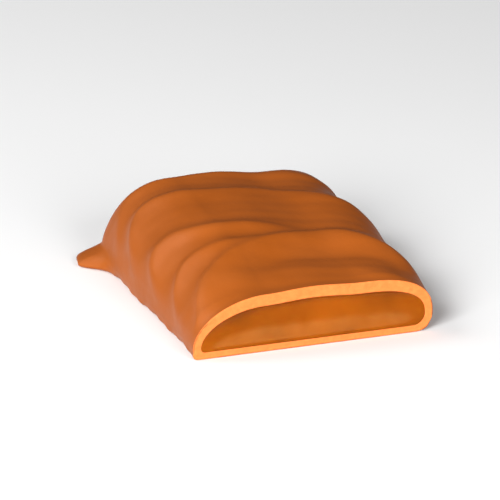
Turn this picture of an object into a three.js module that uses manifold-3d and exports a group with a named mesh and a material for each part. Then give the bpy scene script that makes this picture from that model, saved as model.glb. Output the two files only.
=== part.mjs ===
// A milk chocolate bar with a caramel centre, cut across, lying on its flat base.
// Millimetres, +Z up. The cut faces -Y, the finished end is at +Y and +X is the bar's width.
// The origin is the middle of the flat base. Two solids: the chocolate coat and the caramel centre.
import * as THREE from "three";
import { LoftGeometry } from "three/addons/geometries/LoftGeometry.js";
import { mergeVertices } from "three/addons/utils/BufferGeometryUtils.js";
import Module from "manifold-3d";

const wasm = await Module();
wasm.setup();

// Driving dimensions of the outside
const WIDTH = 30;
const LENGTH = 37.5;
const HEIGHT_AT_CUT = 7.1; // the knife has pressed the bar down there
const PRESSED_LENGTH = 22; // how far back from the cut the top is pressed down
const DOME = 0.3; // how much higher the middle of the top is than its two sides
// Each side: the full height of the top there, how far in the top starts to roll over and how square
// that roll is, the height at which the side is widest, and where along the bar it bows out
const LEFT = { height: 10.4, reach: 9, squareness: 1.85, waist: 1.3, bow: 0.5 };
const RIGHT = { height: 9.5, reach: 9, squareness: 2.6, waist: 2.3, bow: 2.9 };
const SIDE_BOW = 0.15; // how far the sides wander from straight
const END = { reach: 4.6, squareness: 2.4, waist: 1.9 }; // the same for the finished end
const PLAN_SQUARENESS = 4; // of the two finished corners, seen from above
const BASE_CORNER = 0.6 * END.reach; // radius of the base at those corners

// Thickness of the coat
const COAT = { top: 1.4, side: 1.0, base: 0.85, end: 1.3 };
const OUTSIDE = { top: 0, side: 0, base: 0, end: 0 };

// The caramel stands back from the cut, and its cut face is a shallow dish
const CARAMEL_RECESS = 0.3;
const CARAMEL_DISH = 0.7;
const CLEARANCE = 0.3; // between the caramel and the coat

// Ridges of chocolate across the top and down the sides. ACROSS are places over the bar from left to
// right: x, and beyond the shoulders also the way down the side. Each ridge has a line, which is how far
// from the cut it lies at each of those places, its height (below zero for a hollow), its reach in front
// and behind, and the span of x between whose ends it fades in and out.
const ACROSS = [-20, -16, -12, -8, -3, 3, 8, 13, 20];
const EVERYWHERE = [-40, 40];
const RIDGES = [
  { line: [28, 31, 34, 34.5, 34, 33.5, 33, 32, 30], height: 0.4, reach: [1.6, 2], span: EVERYWHERE },
  { line: [21, 25, 28.4, 27.4, 26.3, 25.5, 24, 21, 16], height: 0.8, reach: [2.4, 1.4], span: EVERYWHERE },
  { line: [13.6, 17.9, 18.5, 16.3, 15.4, 14.6, 14, 13, 11], height: 0.7, reach: [1.7, 1.3], span: [-40, 5] },
  { line: [6.3, 10.5, 12.3, 11.9, 11.6, 11.3, 11, 10, 8], height: 0.6, reach: [1.5, 1.1], span: [-40, 1] },
  { line: [-2, 2.6, 6.8, 9.1, 10.8, 12.4, 12.4, 9.5, 3], height: 0.9, reach: [2.2, 1.3], span: EVERYWHERE },
  { line: [-5, -1, 2.5, 5, 7.4, 8.2, 8.3, 6, -1], height: -0.5, reach: [2, 2.2], span: [-9, 15] },
  { line: [5, 5, 5, 5, 4.6, 4.2, 3.4, -2, -7], height: 0.5, reach: [2.6, 3], span: EVERYWHERE },
];
const SHOULDER = { x: 6, z: 7.6, softness: 0.8 }; // from where ACROSS also counts the way down
const FADE_LENGTH = 8;
const RIDGE_WANDER = 0.3;
const RIDGE_SINK = 0.2; // how far the surface between the ridges is sunk for them
const WIPED_LENGTH = 2; // the knife has wiped the ridges away this far from the cut
const RELIEF = { from: 1, full: 7 }; // heights between which the ridges grow out of the side

// Foot of chocolate round the base: a thin lip, with one longer blunt tail at the back left corner
const LIP = { height: 1.1, inset: 1.4, least: 0.05, most: 0.5 };
const TAIL = { length: 3.4, from: 0.3, height: 2.4, spread: 2.6, bluntness: 1.4 };
const TAIL_ROOT = new THREE.Vector2(-WIDTH / 2 + 1, LENGTH / 2 - 2.9);
const TAIL_DIRECTION = new THREE.Vector2(-0.97, 0.24);

// Points per stretch of a section, and sections along the bar
const STEPS = { base: 4, lowerCorner: 4, shoulder: 18, top: 12 };
const BODY_SECTIONS = 54;
const END_SECTIONS = 10;
const INNER_SECTIONS = 8;
const LAST_END_ANGLE = THREE.MathUtils.degToRad(83); // just short of the end, which is then flat

const { smoothstep, lerp, clamp } = THREE.MathUtils;
const CUT_Y = -LENGTH / 2;

// A sum of long sines: uneven, about -1 to 1
function uneven(x, y) {
  return 0.6 * Math.sin(0.31 * x + 0.23 * y + 1) + 0.4 * Math.sin(0.47 * x - 0.38 * y);
}

// One side of a section at y, in the plane of the section with the side at +x. inset is the thickness
// taken off the outside, and rolled is how far the end has rolled over there, from 0 to 1.
function sideOf(side, y, inset, rolled) {
  const reach = side.reach - inset.side;
  const pressed = 1 - smoothstep(y - CUT_Y, 0, PRESSED_LENGTH);
  const height = lerp(side.height, HEIGHT_AT_CUT, pressed) - inset.top;
  const waist = Math.max(lerp(side.waist, END.waist, rolled ** 2), inset.base + 0.5);
  const across = (1 - rolled ** PLAN_SQUARENESS) ** (1 / PLAN_SQUARENESS);
  const edge = WIDTH / 2 - inset.side - reach * (1 - across) + SIDE_BOW * Math.sin(0.21 * y + side.bow);
  const toEnd = LENGTH / 2 - inset.end - y;
  const lowerReach = waist - inset.base;
  const underside = lowerReach - Math.sqrt(lowerReach ** 2 - Math.max(lowerReach - toEnd, 0) ** 2);
  const foot = new THREE.Vector2(edge - lowerReach, inset.base + underside);
  const lowerCorner = Array.from({ length: STEPS.lowerCorner }, (_, i) => {
    const angle = (i / STEPS.lowerCorner) * (Math.PI / 2);
    const z = waist - (waist - foot.y) * Math.cos(angle);
    return new THREE.Vector2(foot.x + lowerReach * Math.sin(angle), z);
  });
  const shoulder = Array.from({ length: STEPS.shoulder + 1 }, (_, i) => {
    const angle = (1 - i / STEPS.shoulder) * (Math.PI / 2);
    const u = across * Math.sin(angle) ** (2 / side.squareness);
    const over = Math.min((u ** PLAN_SQUARENESS + rolled ** PLAN_SQUARENESS) ** (1 / PLAN_SQUARENESS), 1);
    const share = (1 - over ** side.squareness) ** (1 / side.squareness);
    return new THREE.Vector2(edge - reach * (across - u), waist + (height - waist) * share);
  });
  return [...lowerCorner, ...shoulder];
}

// Evenly spaced points between two points, without the ends. The height runs smoothly from the one to
// the other, raised in the middle by dome.
function between(from, to, steps, dome) {
  return Array.from({ length: steps - 1 }, (_, i) => {
    const t = (i + 1) / steps;
    const height = lerp(from.y, to.y, smoothstep(t, 0, 1)) + dome * (4 * t * (1 - t)) ** 2;
    return new THREE.Vector2(lerp(from.x, to.x, t), height);
  });
}

// The closed outline of the bar at y, set in from the outside by the thickness in inset. It runs from
// the left end of the base over the top to the right, and back along the base.
function outline(y, inset) {
  const reach = END.reach - inset.end;
  const rolled = clamp((y - (LENGTH / 2 - inset.end - reach)) / reach, 0, 1);
  const left = sideOf(LEFT, y, inset, rolled).map((p) => new THREE.Vector2(-p.x, p.y));
  const right = sideOf(RIGHT, y, inset, rolled).reverse();
  const dome = DOME * Math.sqrt(1 - rolled ** 2);
  return [
    ...left,
    ...between(left.at(-1), right[0], STEPS.top, dome),
    ...right,
    ...between(right.at(-1), left[0], STEPS.base, 0),
  ];
}

// The line of each ridge as a smooth curve over the bar
const ridgeLines = RIDGES.map(({ line }) => new THREE.CubicInterpolant(ACROSS, line, 1));

// Height of the ridges at a point of the top or the sides
function ridges(x, y, z) {
  const fromCut = y - CUT_Y;
  const down = SHOULDER.softness * Math.log1p(Math.exp((SHOULDER.z - z) / SHOULDER.softness));
  const across = x + clamp(x / SHOULDER.x, -1, 1) * down;
  const total = RIDGES.reduce((sum, { height, reach, span: [left, right] }, i) => {
    const [before, here, after] = [-0.5, 0, 0.5].map((step) => ridgeLines[i].evaluate(across + step)[0]);
    const past = (fromCut - here + RIDGE_WANDER * uneven(x, y)) / Math.hypot(1, after - before);
    const fade = smoothstep(x, left, left + FADE_LENGTH) * (1 - smoothstep(x, right - FADE_LENGTH, right));
    return sum + (fade * height) / (1 + (past / reach[past < 0 ? 0 : 1]) ** 2);
  }, -RIDGE_SINK);
  return total * smoothstep(fromCut, 0, WIPED_LENGTH) * smoothstep(z, RELIEF.from, RELIEF.full);
}

// The nearest edge of the base from a point: how far it is, and which way it lies
function edgeOf(x, y) {
  const inX = Math.abs(x) - (WIDTH / 2 - BASE_CORNER);
  const inY = y - (LENGTH / 2 - BASE_CORNER);
  const side = Math.sign(x);
  if (inX > 0 && inY > 0) {
    const reach = Math.hypot(inX, inY);
    return { distance: BASE_CORNER - reach, out: new THREE.Vector2((side * inX) / reach, inY / reach) };
  }
  const out = inX > inY ? new THREE.Vector2(side, 0) : new THREE.Vector2(0, 1);
  return { distance: BASE_CORNER - Math.max(inX, inY), out };
}

// How the foot moves a point of the plain outside at (x, y), at the height z
function foot(x, y, z) {
  const { distance, out } = edgeOf(x, y);
  const wander = 0.5 + 0.3 * Math.sin(0.83 * x + 0.61 * y) + 0.2 * Math.sin(1.9 * y - 1.3 * x);
  const lip = lerp(LIP.least, LIP.most, wander) * (1 - smoothstep(z, 0, LIP.height));
  const away = Math.hypot(x - TAIL_ROOT.x, y - TAIL_ROOT.y) / TAIL.spread;
  const nearTail = Math.min(TAIL.bluntness * Math.exp(-(away ** 2)), 1);
  const tail = TAIL.length * nearTail * (1 - smoothstep(z, TAIL.from, TAIL.height));
  const nearEdge = 1 - smoothstep(distance, LIP.inset, 2 * LIP.inset);
  return out.multiplyScalar(lip).addScaledVector(TAIL_DIRECTION, tail).multiplyScalar(nearEdge);
}

// The outside of the bar at y: the plain outline with the ridges and the foot worked into it
function coatSection(y) {
  const plain = outline(y, OUTSIDE);
  return plain.map((p, i) => {
    const along = plain[(i + 1) % plain.length].clone().sub(plain.at(i - 1)).normalize();
    const swell = ridges(p.x, y, p.y);
    const moved = foot(p.x, y, p.y);
    return new THREE.Vector3(p.x - along.y * swell + moved.x, y + moved.y, p.y + along.x * swell);
  });
}

// Where the sections lie from start to the end: even along the body, closer as the end rolls over
function stations(start, inset, bodySections) {
  const reach = END.reach - inset.end;
  const roll = LENGTH / 2 - END.reach;
  const body = Array.from({ length: bodySections }, (_, i) => lerp(start, roll, i / bodySections));
  const rolled = Array.from({ length: END_SECTIONS + 1 }, (_, i) => {
    const angle = (LAST_END_ANGLE * i) / END_SECTIONS;
    return roll + reach * Math.sin(angle) ** (2 / END.squareness);
  });
  return [...body, ...rolled];
}

// The middle of a closed section
function middleOf(section) {
  return section.reduce((sum, p) => sum.add(p), new THREE.Vector3()).divideScalar(section.length);
}

// The solid through a row of sections, its two ends closed by fans about their middles
function loft(sections) {
  const ends = [sections[0], sections.at(-1)].map((section) => section.map(() => middleOf(section)));
  const skin = new THREE.BufferGeometry().copy(new LoftGeometry([ends[0], ...sections, ends[1]]));
  for (const name of ["normal", "uv"]) skin.deleteAttribute(name);
  const merged = mergeVertices(skin, 1e-4);
  const corners = merged.index.array;
  const triangles = [];
  for (let i = 0; i < corners.length; i += 3) {
    const [a, b, c] = corners.slice(i, i + 3);
    if (a !== b && b !== c && c !== a) triangles.push(a, b, c);
  }
  return new wasm.Manifold(
    new wasm.Mesh({
      numProp: 3,
      vertProperties: merged.attributes.position.array,
      triVerts: new Uint32Array(triangles),
    }),
  );
}

// A solid as a named mesh
function part(name, shape, material) {
  const { vertProperties, triVerts } = shape.getMesh();
  const geometry = new THREE.BufferGeometry()
    .setAttribute("position", new THREE.BufferAttribute(vertProperties, 3))
    .setIndex(new THREE.BufferAttribute(triVerts, 1));
  geometry.computeVertexNormals();
  const mesh = new THREE.Mesh(geometry, material);
  mesh.name = name;
  return mesh;
}

// Plain sections of the bar set in by inset, from start to its rolled end
function insideSections(inset, start) {
  return stations(start, inset, INNER_SECTIONS).map((y) =>
    outline(y, inset).map((p) => new THREE.Vector3(p.x, y, p.y)),
  );
}

function chocolateCoat() {
  const outside = stations(CUT_Y, OUTSIDE, BODY_SECTIONS).map(coatSection);
  const cavity = insideSections(COAT, CUT_Y);
  const mouth = cavity[0].map((p) => p.clone().setY(CUT_Y - 1));
  return loft(outside).subtract(loft([mouth, ...cavity]));
}

// The caramel's sections start in the middle of the dished cut face and widen to its rim
function caramelCentre() {
  const places = Object.entries(COAT);
  const inset = Object.fromEntries(places.map(([place, thick]) => [place, thick + CLEARANCE]));
  const body = insideSections(inset, CUT_Y + CARAMEL_RECESS);
  const rim = body[0];
  const middle = middleOf(rim);
  const dish = [0.2, 0.5, 0.8].map((share) =>
    rim.map((p) => p.clone().lerp(middle, 1 - share).setY(p.y + CARAMEL_DISH * (1 - share ** 2))),
  );
  return loft([...dish, ...body]);
}

const chocolate = new THREE.MeshStandardMaterial({ color: 0xa4602f, roughness: 0.42, metalness: 0 });
const caramel = new THREE.MeshStandardMaterial({ color: 0xbd6410, roughness: 0.3, metalness: 0 });

const bar = new THREE.Group();
bar.add(part("chocolate_coat", chocolateCoat(), chocolate));
bar.add(part("caramel_centre", caramelCentre(), caramel));

export default bar;
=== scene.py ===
import math

import bpy
import numpy as np
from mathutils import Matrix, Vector


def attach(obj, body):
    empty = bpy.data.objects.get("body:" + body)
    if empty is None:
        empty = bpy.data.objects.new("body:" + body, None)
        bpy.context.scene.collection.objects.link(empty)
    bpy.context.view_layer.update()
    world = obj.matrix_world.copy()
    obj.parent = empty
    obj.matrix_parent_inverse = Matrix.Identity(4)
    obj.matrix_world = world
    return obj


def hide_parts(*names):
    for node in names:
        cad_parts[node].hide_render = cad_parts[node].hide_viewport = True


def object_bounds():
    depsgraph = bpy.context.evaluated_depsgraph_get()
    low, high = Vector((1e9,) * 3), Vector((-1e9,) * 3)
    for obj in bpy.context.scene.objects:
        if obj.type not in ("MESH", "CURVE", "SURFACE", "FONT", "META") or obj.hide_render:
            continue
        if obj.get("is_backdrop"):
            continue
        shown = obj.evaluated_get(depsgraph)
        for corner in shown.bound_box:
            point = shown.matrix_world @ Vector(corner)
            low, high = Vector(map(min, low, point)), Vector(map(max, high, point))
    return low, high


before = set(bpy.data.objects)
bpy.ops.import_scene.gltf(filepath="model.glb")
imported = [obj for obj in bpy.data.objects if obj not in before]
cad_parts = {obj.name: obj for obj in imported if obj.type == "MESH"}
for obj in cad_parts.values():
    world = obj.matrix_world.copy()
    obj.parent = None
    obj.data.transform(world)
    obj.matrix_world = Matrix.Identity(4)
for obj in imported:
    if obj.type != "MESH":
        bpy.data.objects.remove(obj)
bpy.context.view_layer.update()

MM = 0.001

# Outside of the bar, as in the solids
WIDTH = 30
LENGTH = 37.5
CUT_Y = -LENGTH / 2
HEIGHT_AT_CUT = 7.1
PRESSED_LENGTH = 22
DOME = 0.3
LEFT = {"height": 10.4, "reach": 9, "squareness": 1.85, "waist": 1.3, "bow": 0.5}
RIGHT = {"height": 9.5, "reach": 9, "squareness": 2.6, "waist": 2.3, "bow": 2.9}
SIDE_BOW = 0.15
END = {"reach": 4.6, "squareness": 2.4, "waist": 1.9}
PLAN_SQUARENESS = 4
BASE_CORNER = 0.6 * END["reach"]
LEAST_LOWER_REACH = 0.5  # of the corner between the base and the widest place of a side

# Thickness of the coat, and the caramel's cut face behind it
COAT = {"top": 1.4, "side": 1.0, "base": 0.85, "end": 1.3}
OUTSIDE = {"top": 0, "side": 0, "base": 0, "end": 0}
CARAMEL_BITE = 0.06  # how far the caramel reaches into the coat, so that no gap shows
CARAMEL_RECESS = 0.12

# The caramel's cut face: how deep its dish is, how steeply that rises near the rim, which share of it is
# lost towards the top and the base, and its fine unevenness, drawn out in height
DISH = {"depth": 0.8, "steepness": 6, "lost": 0.8}
FACE_LUMPS = {"size": 1.2, "depth": 0.02, "seed": 5, "stretch": (1, 1, 0.3)}
FACE_SHARES = np.linspace(0.01, 1, 70, endpoint=False)[:, None]  # from its middle to its rim

# Ridges across the top and down the sides. ACROSS are places over the bar from left to right: x, and
# beyond the shoulders also the way down the side. Each ridge has a line, which is how far from the cut
# it lies at each of those places, its height (below zero for a hollow), its reach in front and behind,
# and the span of x between whose ends it fades in and out.
ACROSS = (-20, -16, -12, -8, -3, 3, 8, 13, 20)
EVERYWHERE = (-40, 40)
RIDGES = [
    {"line": (28, 31, 34, 34.5, 34, 33.5, 33, 32, 30),
     "height": 0.4, "reach": (1.6, 2), "span": EVERYWHERE},
    {"line": (21, 25, 28.4, 27.4, 26.3, 25.5, 24, 21, 16),
     "height": 0.8, "reach": (2.4, 1.4), "span": EVERYWHERE},
    {"line": (13.6, 17.9, 18.5, 16.3, 15.4, 14.6, 14, 13, 11),
     "height": 0.7, "reach": (1.7, 1.3), "span": (-40, 5)},
    {"line": (6.3, 10.5, 12.3, 11.9, 11.6, 11.3, 11, 10, 8),
     "height": 0.6, "reach": (1.5, 1.1), "span": (-40, 1)},
    {"line": (-2, 2.6, 6.8, 9.1, 10.8, 12.4, 12.4, 9.5, 3),
     "height": 0.9, "reach": (2.2, 1.3), "span": EVERYWHERE},
    {"line": (-5, -1, 2.5, 5, 7.4, 8.2, 8.3, 6, -1),
     "height": -0.5, "reach": (2, 2.2), "span": (-9, 15)},
    {"line": (5, 5, 5, 5, 4.6, 4.2, 3.4, -2, -7),
     "height": 0.5, "reach": (2.6, 3), "span": EVERYWHERE},
]
SHOULDER = {"x": 6, "z": 7.6, "softness": 0.8}  # from where ACROSS also counts the way down
FADE_LENGTH = 8
LEAN_STEP = 1  # over which the lean of a ridge's line is taken
RIDGE_WANDER = 0.3
RIDGE_SINK = 0.2  # how far the surface between the ridges is sunk for them
WIPED_LENGTH = 2  # the knife has wiped the ridges away this far from the cut
RELIEF = {"from": 1, "full": 7}  # heights between which the ridges grow out of the side

# Foot of chocolate round the base: a thin lip, with one longer blunt tail at the back left corner
LIP = {"height": 1.1, "inset": 1.4, "least": 0.05, "most": 0.5}
TAIL = {"length": 3.4, "from": 0.3, "height": 2.4, "spread": 2.6, "bluntness": 1.4}
TAIL_ROOT = (-WIDTH / 2 + 1, LENGTH / 2 - 2.9)
TAIL_DIRECTION = (-0.97, 0.24)

# All lumps are sums of so many waves, whose lengths spread about the size of the lumps. Divided by the
# peak that such a sum usually has, they run about from -1 to 1.
WAVES = 20
WAVE_SPREAD = (0.6, 1.5)
USUAL_PEAK = 6

# Fine unevenness of the coat: two sizes of lumps, and streaks that run along one of the ridges and over
# the top alone, from one height and full at another. It fades out at the base and at the cut.
COAT_LUMPS = [{"size": 5, "depth": 0.04, "seed": 1}, {"size": 1.6, "depth": 0.012, "seed": 2}]
STREAKS = {"size": 1.5, "depth": 0.03, "seed": 6, "ridge": 2, "stretch": 0.12, "from": 4, "full": 8}
SMOOTH_BASE = {"from": 0.1, "full": 1.5}

# The rim of the coat at the cut: its bevels, its grain and the rows of points over it
OUTER_BEVEL = 0.1
INNER_BEVEL = 0.06
RIM_LUMPS = [{"size": 0.7, "depth": 0.035, "seed": 3}, {"size": 0.3, "depth": 0.02, "seed": 4}]
RIM_ROWS = 12

# Points round a section, and sections along the bar
STEPS = {"base": 30, "lower_corner": 12, "shoulder": 84, "top": 96}
BODY_ROWS = 190
END_ROWS = 44
INNER_ROWS = 14
LAST_END_ANGLE = 89.5  # degrees, just short of the end, which is then flat

# Noise of the materials runs about between these
NOISE_RANGE = (0.3, 0.7)

# Camera: its angles in degrees, its distance in metres and its lens in millimetres
CAMERA = {"azimuth": -19.7, "elevation": 20.3, "distance": 0.616, "lens": 370}

# Floor and lights, in metres and watts
FLOOR_HALF = 3
FLOOR_DROP = 0.02 * MM  # so that the floor and the base aren't in one plane
WORLD_STRENGTH = 0.08
LIGHT_TARGET = (0, 0, 0.004)
LIGHTS = [
    {"name": "key", "place": (-0.39, -0.39, 0.28), "size": 0.3, "watts": 5.5},
    {"name": "front", "place": (0.1, -0.6, 0.25), "size": 0.3, "watts": 3},
    {"name": "left", "place": (-0.37, 0.2, 0.37), "size": 0.25, "watts": 1.2},
]


# ---- Shape of the bar ----

def smoothstep(value, low, high):
    share = np.clip((value - low) / (high - low), 0, 1)
    return share * share * (3 - 2 * share)


def mix(a, b, share):
    return a + (b - a) * share


def uneven(x, y):
    """A sum of long sines: uneven, about -1 to 1."""
    return 0.6 * np.sin(0.31 * x + 0.23 * y + 1) + 0.4 * np.sin(0.47 * x - 0.38 * y)


def lumps(points, kind):
    """Smooth noise at the points: waves in all directions, whose lumps are about kind's size across and
    about its depth high and low."""
    draw = np.random.default_rng(kind["seed"])
    total = 0
    for _ in range(WAVES):
        direction = draw.normal(size=3)
        direction *= draw.uniform(*WAVE_SPREAD) * math.pi / kind["size"] / np.linalg.norm(direction)
        total = total + np.sin(points @ direction + draw.uniform(0, 2 * math.pi))
    return kind["depth"] * total / USUAL_PEAK


def side_of(side, y, inset, rolled):
    """One side of the sections at y, a column of numbers, with the side at +x: its x and its z."""
    reach = side["reach"] - inset["side"]
    pressed = 1 - smoothstep(y - CUT_Y, 0, PRESSED_LENGTH)
    height = mix(side["height"], HEIGHT_AT_CUT, pressed) - inset["top"]
    waist = mix(side["waist"], END["waist"], rolled**2)
    waist = np.maximum(waist, inset["base"] + LEAST_LOWER_REACH)
    across = (1 - rolled**PLAN_SQUARENESS) ** (1 / PLAN_SQUARENESS)
    bow = SIDE_BOW * np.sin(0.21 * y + side["bow"])
    edge = WIDTH / 2 - inset["side"] - reach * (1 - across) + bow
    to_end = LENGTH / 2 - inset["end"] - y
    lower_reach = waist - inset["base"]
    underside = lower_reach - np.sqrt(lower_reach**2 - np.clip(lower_reach - to_end, 0, lower_reach) ** 2)
    foot_z = inset["base"] + underside
    angle = np.arange(STEPS["lower_corner"])[None, :] / STEPS["lower_corner"] * math.pi / 2
    corner_x = edge - lower_reach + lower_reach * np.sin(angle)
    corner_z = waist - (waist - foot_z) * np.cos(angle)
    angle = np.linspace(1, 0, STEPS["shoulder"] + 1)[None, :] * math.pi / 2
    u = across * np.sin(angle) ** (2 / side["squareness"])
    over = np.minimum((u**PLAN_SQUARENESS + rolled**PLAN_SQUARENESS) ** (1 / PLAN_SQUARENESS), 1)
    share = (1 - over ** side["squareness"]) ** (1 / side["squareness"])
    shoulder_x = edge - reach * (across - u)
    shoulder_z = waist + (height - waist) * share
    return np.hstack([corner_x, shoulder_x]), np.hstack([corner_z, shoulder_z])


def outline(y, inset):
    """The closed outlines of the bar at each y, set in from the outside by the thickness in inset.
    Each runs from the left end of the base over the top to the right, and back along the base."""
    y = np.asarray(y, float)[:, None]
    reach = END["reach"] - inset["end"]
    rolled = np.clip((y - (LENGTH / 2 - inset["end"] - reach)) / reach, 0, 1)
    left_x, left_z = side_of(LEFT, y, inset, rolled)
    right_x, right_z = side_of(RIGHT, y, inset, rolled)
    left_x, right_x, right_z = -left_x, right_x[:, ::-1], right_z[:, ::-1]
    top = np.arange(1, STEPS["top"])[None, :] / STEPS["top"]
    base = np.arange(1, STEPS["base"])[None, :] / STEPS["base"]
    dome = DOME * np.sqrt(1 - rolled**2) * (4 * top * (1 - top)) ** 2
    top_x = mix(left_x[:, -1:], right_x[:, :1], top)
    top_z = mix(left_z[:, -1:], right_z[:, :1], smoothstep(top, 0, 1)) + dome
    base_x = mix(right_x[:, -1:], left_x[:, :1], base)
    base_z = mix(right_z[:, -1:], left_z[:, :1], base)
    x = np.hstack([left_x, top_x, right_x, base_x])
    z = np.hstack([left_z, top_z, right_z, base_z])
    return np.stack([x, np.broadcast_to(y, x.shape), z], axis=-1)


def over_bar(values, across):
    """A smooth curve through the values at ACROSS."""
    widths = np.diff(ACROSS)
    secants = np.diff(values) / widths
    slopes = np.concatenate([secants[:1], (secants[1:] + secants[:-1]) / 2, secants[-1:]])
    piece = np.clip(np.searchsorted(ACROSS, across) - 1, 0, len(widths) - 1)
    width = widths[piece]
    share = np.clip((across - np.take(ACROSS, piece)) / width, 0, 1)
    low, high = np.take(values, piece), np.take(values, piece + 1)
    climb, low_climb, high_climb = high - low, slopes[piece] * width, slopes[piece + 1] * width
    bend = 3 * climb - 2 * low_climb - high_climb
    turn = low_climb + high_climb - 2 * climb
    return low + share * (low_climb + share * (bend + share * turn))


def ridges(x, y, z):
    """Height of the ridges at a point of the top or the sides."""
    from_cut = y - CUT_Y
    down = SHOULDER["softness"] * np.log1p(np.exp((SHOULDER["z"] - z) / SHOULDER["softness"]))
    across = x + np.clip(x / SHOULDER["x"], -1, 1) * down
    total = -RIDGE_SINK
    for ridge in RIDGES:
        before = over_bar(ridge["line"], across - LEAN_STEP / 2)
        after = over_bar(ridge["line"], across + LEAN_STEP / 2)
        lean = (after - before) / LEAN_STEP
        behind = from_cut - over_bar(ridge["line"], across) + RIDGE_WANDER * uneven(x, y)
        past = behind / np.hypot(1, lean)
        reach = np.where(past < 0, *ridge["reach"])
        left, right = ridge["span"]
        fade = smoothstep(x, left, left + FADE_LENGTH) * (1 - smoothstep(x, right - FADE_LENGTH, right))
        total = total + fade * ridge["height"] / (1 + (past / reach) ** 2)
    return total * smoothstep(from_cut, 0, WIPED_LENGTH) * smoothstep(z, RELIEF["from"], RELIEF["full"])


def foot(x, y, z):
    """How the foot moves a point of the plain outside sideways: its x and its y."""
    in_x = np.abs(x) - (WIDTH / 2 - BASE_CORNER)
    in_y = y - (LENGTH / 2 - BASE_CORNER)
    corner = (in_x > 0) & (in_y > 0)
    reach = np.maximum(np.hypot(in_x, in_y), 1e-6)
    distance = BASE_CORNER - np.where(corner, reach, np.maximum(in_x, in_y))
    out_x = np.sign(x) * np.where(corner, in_x / reach, in_x > in_y)
    out_y = np.where(corner, in_y / reach, in_x <= in_y)
    wander = 0.5 + 0.3 * np.sin(0.83 * x + 0.61 * y) + 0.2 * np.sin(1.9 * y - 1.3 * x)
    lip = mix(LIP["least"], LIP["most"], wander) * (1 - smoothstep(z, 0, LIP["height"]))
    away = np.hypot(x - TAIL_ROOT[0], y - TAIL_ROOT[1]) / TAIL["spread"]
    near_tail = np.minimum(TAIL["bluntness"] * np.exp(-(away**2)), 1)
    tail = TAIL["length"] * near_tail * (1 - smoothstep(z, TAIL["from"], TAIL["height"]))
    near_edge = 1 - smoothstep(distance, LIP["inset"], 2 * LIP["inset"])
    move_x = (out_x * lip + TAIL_DIRECTION[0] * tail) * near_edge
    move_y = (out_y * lip + TAIL_DIRECTION[1] * tail) * near_edge
    return move_x, move_y


def outward(sections):
    """Unit vectors out of the surface through a grid of closed sections."""
    round_it = np.roll(sections, -1, axis=1) - np.roll(sections, 1, axis=1)
    along_it = np.gradient(sections, axis=0)
    normal = np.cross(along_it, round_it)
    return normal / np.maximum(np.linalg.norm(normal, axis=2, keepdims=True), 1e-9)


def stations(start, inset, body_rows, end_rows):
    """Where the sections lie from start to the end: even along the body, closer as the end rolls over."""
    reach = END["reach"] - inset["end"]
    roll = LENGTH / 2 - END["reach"]
    body = np.linspace(start, roll, body_rows, endpoint=False)
    angle = np.linspace(0, math.radians(LAST_END_ANGLE), end_rows)
    return np.concatenate([body, roll + reach * np.sin(angle) ** (2 / END["squareness"])])


def coat_outside():
    """Sections of the chocolate's outside, from the cut to the finished end."""
    plain = outline(stations(CUT_Y, OUTSIDE, BODY_ROWS, END_ROWS), OUTSIDE)
    x, y, z = plain[..., 0], plain[..., 1], plain[..., 2]
    flat = plain[..., [0, 2]]
    along = np.roll(flat, -1, axis=1) - np.roll(flat, 1, axis=1)
    along /= np.maximum(np.linalg.norm(along, axis=2, keepdims=True), 1e-9)
    swell = ridges(x, y, z)
    move_x, move_y = foot(x, y, z)
    moved = [x - along[..., 1] * swell + move_x, y + move_y, z + along[..., 0] * swell]
    shape = np.stack(moved, axis=-1)
    behind = y - CUT_Y - over_bar(RIDGES[STREAKS["ridge"]]["line"], x)
    drawn_out = [STREAKS["stretch"] * x, behind, STREAKS["stretch"] * z]
    streaks = lumps(np.stack(drawn_out, axis=-1), STREAKS)
    soft = sum(lumps(shape, kind) for kind in COAT_LUMPS)
    soft += streaks * smoothstep(z, STREAKS["from"], STREAKS["full"])
    soft *= smoothstep(shape[..., 2], SMOOTH_BASE["from"], SMOOTH_BASE["full"])
    soft *= smoothstep(y - CUT_Y, 0, WIPED_LENGTH)
    return shape + outward(shape) * soft[..., None]


# ---- Meshes ----

def made(name, rows, finishes, finish_of_row=None):
    """A closed mesh through rows of closed sections in millimetres, its ends closed by fans."""
    rows = np.asarray(rows)
    count, around = rows.shape[:2]
    points = [*rows.reshape(-1, 3), rows[0].mean(axis=0), rows[-1].mean(axis=0)]
    here = np.arange(count * around).reshape(count, around)
    following = np.roll(here, -1, axis=1)
    quads = np.stack([here[:-1], here[1:], following[1:], following[:-1]], axis=-1).reshape(-1, 4)
    first = [(count * around, a, b) for a, b in zip(here[0], following[0])]
    last = [(count * around + 1, b, a) for a, b in zip(here[-1], following[-1])]
    mesh = bpy.data.meshes.new(name)
    mesh.from_pydata((np.array(points) * MM).tolist(), [], quads.tolist() + first + last)
    for finish in finishes:
        mesh.materials.append(finish)
    if finish_of_row is not None:
        slots = np.repeat(np.asarray(finish_of_row), around)
        slots = np.concatenate([slots, np.zeros(2 * around)])
        mesh.polygons.foreach_set("material_index", slots.astype(np.int32))
    mesh.shade_smooth()
    piece = bpy.data.objects.new(name, mesh)
    bpy.context.scene.collection.objects.link(piece)
    return piece


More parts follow.
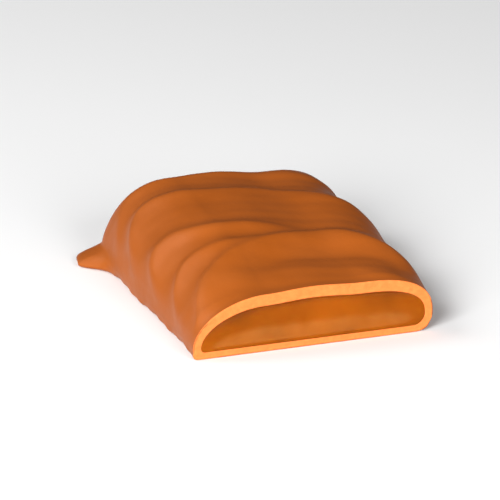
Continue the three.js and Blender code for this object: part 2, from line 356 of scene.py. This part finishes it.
def chocolate_coat(skin, cut):
    """The coat as one closed skin: in from the cavity's end, over the rim at the cut, out to the end."""
    outside = coat_outside()
    cavity = outline(stations(CUT_Y, COAT, INNER_ROWS, INNER_ROWS), COAT)
    rim = np.array([mix(cavity[0], outside[0], share) for share in np.linspace(0, 1, RIM_ROWS)])
    inward = rim[-2] - rim[-1]
    inward /= np.linalg.norm(inward, axis=1, keepdims=True)
    rim[-1] += inward * OUTER_BEVEL
    rim[0] -= inward * INNER_BEVEL
    rim[..., 1] += np.abs(sum(lumps(rim, kind) for kind in RIM_LUMPS))
    outside[0, :, 1] += OUTER_BEVEL
    inside = cavity[::-1].copy()
    inside[-1, :, 1] += INNER_BEVEL
    rows = np.concatenate([inside, rim, outside])
    is_cut = np.zeros(len(rows) - 1)
    is_cut[len(inside) - 1 : len(inside) + len(rim)] = 1
    return made("coat", rows, [skin, cut], is_cut)


def caramel_centre(finish):
    """The caramel: its dished cut face, then its side, which reaches just into the coat."""
    inset = {place: thick - CARAMEL_BITE for place, thick in COAT.items()}
    body = outline(stations(CUT_Y + CARAMEL_RECESS, inset, INNER_ROWS, INNER_ROWS), inset)
    rim = body[0]
    middle = rim.mean(axis=0)
    face = np.array([mix(middle, rim, share) for share in FACE_SHARES])
    up = (face[..., 2] - middle[2]) / np.ptp(rim[:, 2]) * 2
    inner = 1 - FACE_SHARES ** DISH["steepness"]
    face[..., 1] += DISH["depth"] * inner * (1 - DISH["lost"] * up**2)
    face[..., 1] += lumps(face * FACE_LUMPS["stretch"], FACE_LUMPS) * inner
    return made("caramel", np.concatenate([face, body]), [finish])


# ---- Materials ----

def material(name, settings):
    """A new material, its nodes, and its shader with the settings on its sockets."""
    made_material = bpy.data.materials.new(name)
    made_material.use_nodes = True
    shader = made_material.node_tree.nodes["Principled BSDF"]
    for socket, value in settings.items():
        shader.inputs[socket].default_value = value
    return made_material, made_material.node_tree, shader


def node(tree, kind, inputs=None, **settings):
    """A new node with its settings, and its inputs linked or set."""
    new = tree.nodes.new(kind)
    for key, value in settings.items():
        setattr(new, key, value)
    for key, value in (inputs or {}).items():
        if isinstance(value, bpy.types.NodeSocket):
            tree.links.new(value, new.inputs[key])
        else:
            new.inputs[key].default_value = value
    return new


def noise(tree, size, detail, stretch=(1, 1, 1)):
    """Noise over the object's own space, with lumps of about size millimetres."""
    place = node(tree, "ShaderNodeTexCoord").outputs["Object"]
    scaled = node(tree, "ShaderNodeMapping", {"Vector": place, "Scale": stretch})
    inputs = {"Vector": scaled.outputs["Vector"], "Scale": 1 / (size * MM), "Detail": detail}
    return node(tree, "ShaderNodeTexNoise", inputs).outputs["Fac"]


def colors(tree, value, low, high):
    """The colour from low to high, as the value runs through NOISE_RANGE."""
    new = node(tree, "ShaderNodeValToRGB", {"Fac": value})
    for element, position, color in zip(new.color_ramp.elements, NOISE_RANGE, (low, high)):
        element.position = position
        element.color = (*color, 1)
    return new.outputs["Color"]


def numbers(tree, value, low, high):
    """The number from low to high, as the value runs through NOISE_RANGE."""
    least, most = NOISE_RANGE
    inputs = {"Value": value, "From Min": least, "From Max": most, "To Min": low, "To Max": high}
    return node(tree, "ShaderNodeMapRange", inputs).outputs["Result"]


def bump(tree, height, depth, normal=None):
    """A bump of depth millimetres over height."""
    inputs = {"Height": height, "Strength": 1.0, "Distance": depth * MM}
    if normal is not None:
        inputs["Normal"] = normal
    return node(tree, "ShaderNodeBump", inputs).outputs["Normal"]


def chocolate_skin():
    """The smooth, softly shining outside of the coat."""
    settings = {"IOR": 1.36, "Specular Tint": (1, 0.8, 0.6, 1)}
    made_material, tree, shader = material("milk_chocolate", settings)
    color = colors(tree, noise(tree, size=9, detail=4), (0.295, 0.067, 0.006), (0.335, 0.079, 0.009))
    tree.links.new(color, shader.inputs["Base Color"])
    tree.links.new(numbers(tree, noise(tree, size=4, detail=3), 0.42, 0.54), shader.inputs["Roughness"])
    coarse = bump(tree, noise(tree, size=0.9, detail=3), 0.02)
    fine = bump(tree, noise(tree, size=0.22, detail=2), 0.006, coarse)
    tree.links.new(fine, shader.inputs["Normal"])
    return made_material


def chocolate_cut():
    """The paler, dull and fine-grained chocolate of the cut rim."""
    settings = {"Roughness": 0.75, "Specular IOR Level": 0.3}
    made_material, tree, shader = material("cut_chocolate", settings)
    color = colors(tree, noise(tree, size=0.5, detail=3), (0.71, 0.165, 0.03), (0.81, 0.2, 0.04))
    tree.links.new(color, shader.inputs["Base Color"])
    tree.links.new(bump(tree, noise(tree, size=0.25, detail=3), 0.03), shader.inputs["Normal"])
    return made_material


def caramel():
    """The amber caramel, which shines and lets some light through."""
    settings = {
        "Roughness": 0.3,
        "IOR": 1.35,
        "Specular Tint": (1, 0.6, 0.2, 1),
        "Subsurface Weight": 0.6,
        "Subsurface Radius": (1.0, 0.4, 0.08),
        "Subsurface Scale": 2.5 * MM,
    }
    made_material, tree, shader = material("caramel", settings)
    color = colors(tree, noise(tree, size=6, detail=3), (0.2, 0.041, 0.0004), (0.3, 0.064, 0.0008))
    tree.links.new(color, shader.inputs["Base Color"])
    normal = bump(tree, noise(tree, size=1.2, detail=3, stretch=(1, 1, 0.3)), 0.015)
    tree.links.new(normal, shader.inputs["Normal"])
    return made_material


# ---- Stage, light and camera ----

def floor():
    made_material, _, _ = material("floor", {"Base Color": (0.9, 0.9, 0.9, 1), "Roughness": 0.6})
    mesh = bpy.data.meshes.new("floor")
    corners = [(FLOOR_HALF * x, FLOOR_HALF * y, 0) for x, y in ((-1, -1), (1, -1), (1, 1), (-1, 1))]
    mesh.from_pydata(corners, [], [(0, 1, 2, 3)])
    mesh.materials.append(made_material)
    plane = bpy.data.objects.new("floor", mesh)
    plane.location.z = -FLOOR_DROP
    bpy.context.scene.collection.objects.link(plane)
    plane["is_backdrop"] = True


def softbox(name, place, size, watts):
    """A square area light at place, which faces the bar."""
    lamp = bpy.data.lights.new(name, "AREA")
    lamp.shape = "SQUARE"
    lamp.size = size
    lamp.energy = watts
    light = bpy.data.objects.new(name, lamp)
    light.location = place
    towards = Vector(LIGHT_TARGET) - Vector(place)
    light.rotation_euler = towards.to_track_quat("-Z", "Y").to_euler()
    bpy.context.scene.collection.objects.link(light)


def lights():
    world = bpy.data.worlds.new("studio")
    world.use_nodes = True
    background = world.node_tree.nodes["Background"]
    background.inputs["Color"].default_value = (1, 1, 1, 1)
    background.inputs["Strength"].default_value = WORLD_STRENGTH
    bpy.context.scene.world = world
    for light in LIGHTS:
        softbox(**light)
    bpy.context.scene.view_settings.view_transform = "Standard"


def camera():
    """The camera, aimed at the middle of the bar."""
    azimuth, elevation = math.radians(CAMERA["azimuth"]), math.radians(CAMERA["elevation"])
    back = Vector((math.sin(azimuth), -math.cos(azimuth), math.tan(elevation))).normalized()
    low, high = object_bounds()
    data = bpy.data.cameras.new("camera")
    data.lens = CAMERA["lens"]
    eye = bpy.data.objects.new("camera", data)
    eye.location = (low + high) / 2 + back * CAMERA["distance"]
    eye.rotation_euler = (-back).to_track_quat("-Z", "Y").to_euler()
    bpy.context.scene.collection.objects.link(eye)
    bpy.context.scene.camera = eye


camera()
lights()
floor()
coat = chocolate_coat(chocolate_skin(), chocolate_cut())
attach(coat, "root")
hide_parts("chocolate_coat")
centre = caramel_centre(caramel())
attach(centre, "root")
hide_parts("caramel_centre")
